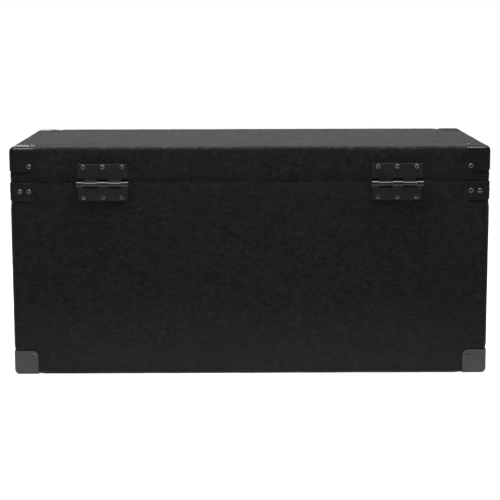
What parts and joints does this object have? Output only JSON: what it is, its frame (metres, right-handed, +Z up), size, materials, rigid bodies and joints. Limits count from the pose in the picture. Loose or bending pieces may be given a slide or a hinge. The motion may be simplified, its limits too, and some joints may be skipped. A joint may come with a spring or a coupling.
{
  "type": "vinyl record case",
  "caption": "Carpet-covered plywood case for 12-inch records, with a hinged lid, riveted steel corners, draw latches and drop handles.",
  "frame": {"origin": "centre of the carcass on the plane that the four bottom corners stand on", "axes": "+X along the case, -Y the latch side, +Y the hinge side, +Z up"},
  "size_m": [0.788, 0.3773, 0.3655],
  "materials": {
    "plywood": "bare birch plywood, sanded",
    "carpet": "black needle-felt carpet, fine short pile",
    "foam": "charcoal closed-cell foam",
    "black_steel": "pressed steel, black satin coating",
    "rivet_black": "domed blind rivet, black coating",
    "pin_steel": "plain steel pin",
    "grip_rubber": "moulded black rubber, matt"
  },
  "bodies": {
    "case": {"base_carpet": "carpet", "base_corner_rivets": "rivet_black", "base_corners_front": "black_steel", "base_corners_rear": "black_steel", "base_floor_panel": "plywood", "base_front_panel": "plywood", "base_hinge_rivets": "rivet_black", "base_left_panel": "plywood", "base_rear_panel": "plywood", "base_right_panel": "plywood", "bracket_rivets": "rivet_black", "centre_divider": "plywood", "floor_pads": "foam", "handle_left_plate": "black_steel", "handle_right_plate": "black_steel", "handle_rivets": "rivet_black", "hinge_lower_leaves": "black_steel", "hinge_pins": "pin_steel", "latch_left_case": "black_steel", "latch_right_case": "black_steel", "latch_rivets": "rivet_black", "rim_brackets_front": "black_steel", "rim_brackets_rear": "black_steel"},
    "lid": {"hinge_upper_leaves": "black_steel", "keeper_rivets": "rivet_black", "latch_left_keeper": "black_steel", "latch_right_keeper": "black_steel", "lid_carpet": "carpet", "lid_corner_rivets": "rivet_black", "lid_corners_front": "black_steel", "lid_corners_rear": "black_steel", "lid_front_rail": "plywood", "lid_hinge_rivets": "rivet_black", "lid_left_rail": "plywood", "lid_pad": "foam", "lid_rear_rail": "plywood", "lid_right_rail": "plywood", "lid_top_panel": "plywood"},
    "latch_left_rotor": {"latch_left_wing": "black_steel", "latch_left_crank": "black_steel"},
    "latch_left_slide": {"latch_left_yoke": "black_steel", "latch_left_claw_pin": "pin_steel"},
    "latch_left_hook": {"latch_left_claw": "black_steel"},
    "handle_left": {"handle_left_bail": "black_steel", "handle_left_grip": "grip_rubber"},
    "latch_right_rotor": {"latch_right_wing": "black_steel", "latch_right_crank": "black_steel"},
    "latch_right_slide": {"latch_right_yoke": "black_steel", "latch_right_claw_pin": "pin_steel"},
    "latch_right_hook": {"latch_right_claw": "black_steel"},
    "handle_right": {"handle_right_bail": "black_steel", "handle_right_grip": "grip_rubber"}
  },
  "joints": [
    {"name": "lid_hinge", "type": "hinge", "parent": "case", "child": "lid", "pos_m": [0, 0.18, 0.30515], "axis": [-1, 0, 0], "range_deg": [0, 180]},
    {"name": "latch_left_turn", "type": "hinge", "parent": "case", "child": "latch_left_rotor", "pos_m": [-0.19, -0.175, 0.25595], "axis": [0, 1, 0], "range_deg": [0, 180]},
    {"name": "latch_left_travel", "type": "slide", "parent": "case", "child": "latch_left_slide", "axis": [0, 0, -1], "range_m": [0, 0.012]},
    {"name": "latch_left_tilt", "type": "hinge", "parent": "latch_left_slide", "child": "latch_left_hook", "pos_m": [-0.19, -0.18, 0.28795], "axis": [-1, 0, 0], "range_deg": [0, 11]},
    {"name": "handle_left_swing", "type": "hinge", "parent": "case", "child": "handle_left", "pos_m": [-0.385, 0, 0.205], "axis": [0, 1, 0], "range_deg": [0, 180]},
    {"name": "latch_right_turn", "type": "hinge", "parent": "case", "child": "latch_right_rotor", "pos_m": [0.19, -0.175, 0.25595], "axis": [0, 1, 0], "range_deg": [0, 180]},
    {"name": "latch_right_travel", "type": "slide", "parent": "case", "child": "latch_right_slide", "axis": [0, 0, -1], "range_m": [0, 0.012]},
    {"name": "latch_right_tilt", "type": "hinge", "parent": "latch_right_slide", "child": "latch_right_hook", "pos_m": [0.19, -0.18, 0.28795], "axis": [-1, 0, 0], "range_deg": [0, 11]},
    {"name": "handle_right_swing", "type": "hinge", "parent": "case", "child": "handle_right", "pos_m": [0.385, 0, 0.205], "axis": [0, -1, 0], "range_deg": [0, 180]}
  ],
  "couplings": [
    {"joint": "latch_left_travel", "follows": "latch_left_turn", "m_per_rad": 0.0038197},
    {"joint": "latch_right_travel", "follows": "latch_right_turn", "m_per_rad": 0.0038197}
  ]
}
